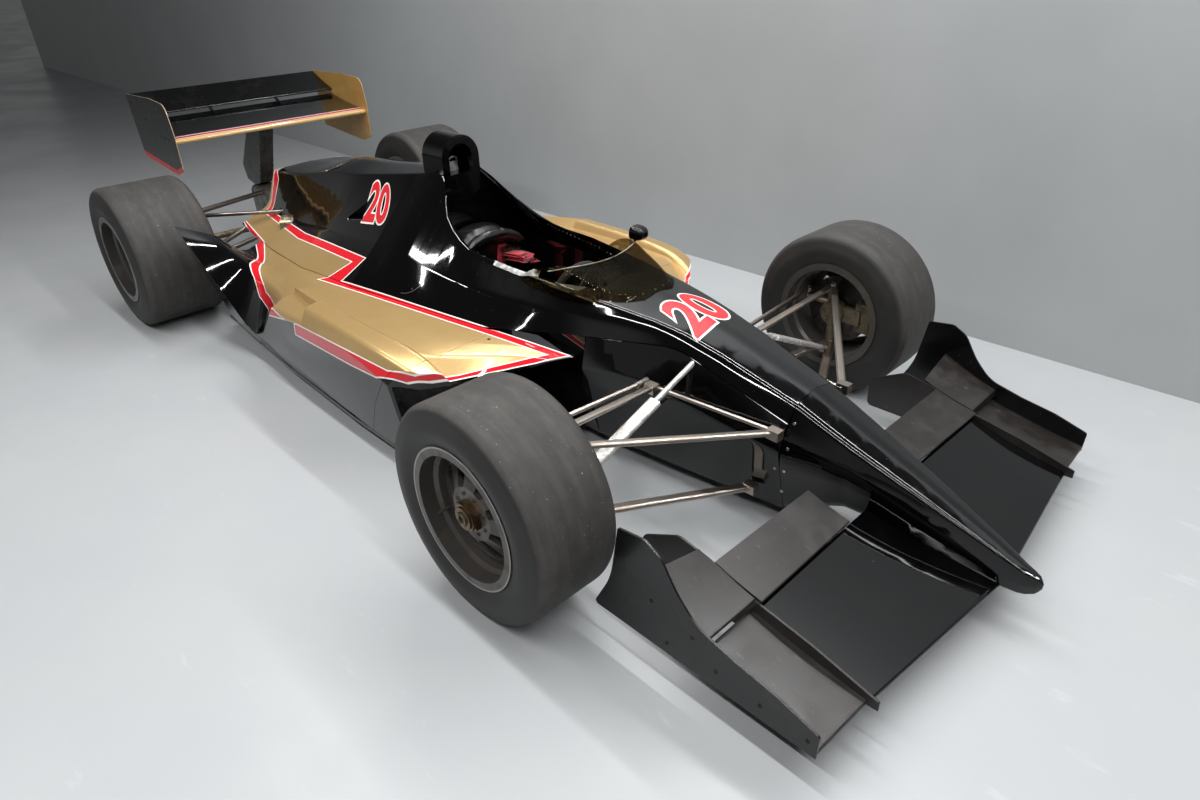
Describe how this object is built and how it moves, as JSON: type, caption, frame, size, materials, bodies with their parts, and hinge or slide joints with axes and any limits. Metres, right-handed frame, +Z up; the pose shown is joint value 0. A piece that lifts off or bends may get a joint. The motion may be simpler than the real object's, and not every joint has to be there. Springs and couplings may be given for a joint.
{
  "type": "open wheel racing car",
  "caption": "Single seat open wheel racing car with slick tyres, front and rear wings, sidepods, an open cockpit with a screen, and steered front wheels.",
  "frame": {"origin": "on the ground, under the middle of the car's bounding box", "axes": "+X forward to the nose, +Y to the driver's left, +Z up"},
  "size_m": [4.6812, 2.0328, 0.9868],
  "materials": {
    "gloss_black": "gloss black paint, polished",
    "gold_paint": "metallic gold paint with red and white stripes",
    "carbon": "bare carbon fibre laminate",
    "carbon_inside": "satin black honeycomb panel",
    "cast_alloy": "cast magnesium and aluminium, dulled",
    "nickel_tube": "nickel plated steel tube, partly browned",
    "rim_grey": "dark grey painted magnesium",
    "tyre_rubber": "used slick tyre, dusty",
    "disc_iron": "cast iron disc with bronze anodised nut",
    "smoked_screen": "smoked brown polycarbonate",
    "seat_leather": "black leather with piping",
    "belt_red": "red webbing",
    "wheel_suede": "black suede steering wheel rim",
    "radiator_core": "finned cooler core",
    "exhaust_steel": "heat browned stainless steel"
  },
  "bodies": {
    "chassis": {"cockpit_bulkhead": "carbon_inside", "engine_block": "cast_alloy", "engine_cover": "gloss_black", "exhaust_tailpipe": "exhaust_steel", "front_pushrods": "nickel_tube", "front_wing_end_plate_left": "gloss_black", "front_wing_end_plate_right": "gloss_black", "front_wing_fences": "gloss_black", "front_wing_flaps": "carbon", "front_wing_main": "gloss_black", "front_wishbones": "nickel_tube", "gearbox": "cast_alloy", "harness": "belt_red", "kick_up_left": "gloss_black", "kick_up_right": "gloss_black", "mirror_left": "gloss_black", "monocoque": "gloss_black", "nose_cone": "gloss_black", "radiator_left": "radiator_core", "radiator_right": "radiator_core", "rear_pushrods": "nickel_tube", "rear_upright_left": "cast_alloy", "rear_upright_right": "cast_alloy", "rear_wing_end_plates": "gold_paint", "rear_wing_flap": "gloss_black", "rear_wing_main": "gloss_black", "rear_wing_post": "gloss_black", "rear_wishbones": "nickel_tube", "roll_hoop": "gloss_black", "seat": "seat_leather", "sidepod_intake_left": "gold_paint", "sidepod_intake_right": "gold_paint", "sidepod_left": "gold_paint", "sidepod_right": "gold_paint", "top_cover": "gloss_black", "underfloor": "carbon_inside", "windscreen": "smoked_screen"},
    "steering_wheel": {"steering_wheel": "wheel_suede"},
    "steering_rack": {"steering_rack": "nickel_tube"},
    "front_knuckle_left": {"front_upright_left": "cast_alloy"},
    "front_wheel_left": {"front_tyre_left": "tyre_rubber", "front_rim_left": "rim_grey", "front_hub_left": "disc_iron"},
    "rear_wheel_left": {"rear_tyre_left": "tyre_rubber", "rear_rim_left": "rim_grey", "rear_hub_left": "disc_iron"},
    "front_knuckle_right": {"front_upright_right": "cast_alloy"},
    "front_wheel_right": {"front_tyre_right": "tyre_rubber", "front_rim_right": "rim_grey", "front_hub_right": "disc_iron"},
    "rear_wheel_right": {"rear_tyre_right": "tyre_rubber", "rear_rim_right": "rim_grey", "rear_hub_right": "disc_iron"}
  },
  "joints": [
    {"name": "steer_left", "type": "hinge", "parent": "chassis", "child": "front_knuckle_left", "pos_m": [1.221, 0.795, 0.309], "axis": [-0.0503, -0.0419, 0.9979], "range_deg": [-14, 14]},
    {"name": "front_wheel_left_roll", "type": "hinge", "parent": "front_knuckle_left", "child": "front_wheel_left", "pos_m": [1.227, 0.872, 0.32], "axis": [0, 1, 0], "continuous": true},
    {"name": "rear_wheel_left_roll", "type": "hinge", "parent": "chassis", "child": "rear_wheel_left", "pos_m": [-1.614, 0.798, 0.3375], "axis": [0, 1, 0], "continuous": true},
    {"name": "steer_right", "type": "hinge", "parent": "chassis", "child": "front_knuckle_right", "pos_m": [1.221, -0.795, 0.309], "axis": [-0.0503, 0.0419, 0.9979], "range_deg": [-14, 14]},
    {"name": "front_wheel_right_roll", "type": "hinge", "parent": "front_knuckle_right", "child": "front_wheel_right", "pos_m": [1.227, -0.872, 0.32], "axis": [0, 1, 0], "continuous": true},
    {"name": "rear_wheel_right_roll", "type": "hinge", "parent": "chassis", "child": "rear_wheel_right", "pos_m": [-1.614, -0.798, 0.3375], "axis": [0, 1, 0], "continuous": true},
    {"name": "rack_slide", "type": "slide", "parent": "chassis", "child": "steering_rack", "axis": [0, 1, 0], "range_m": [-0.0275, 0.0275]},
    {"name": "steering_wheel_turn", "type": "hinge", "parent": "chassis", "child": "steering_wheel", "pos_m": [0.6, 0, 0.462], "axis": [-0.9781, 0, 0.2079], "range_deg": [-115, 115]}
  ],
  "couplings": [
    {"joint": "steer_right", "follows": "steer_left", "ratio": 1},
    {"joint": "rack_slide", "follows": "steer_left", "m_per_rad": -0.1101},
    {"joint": "steering_wheel_turn", "follows": "steer_left", "ratio": 8}
  ]
}
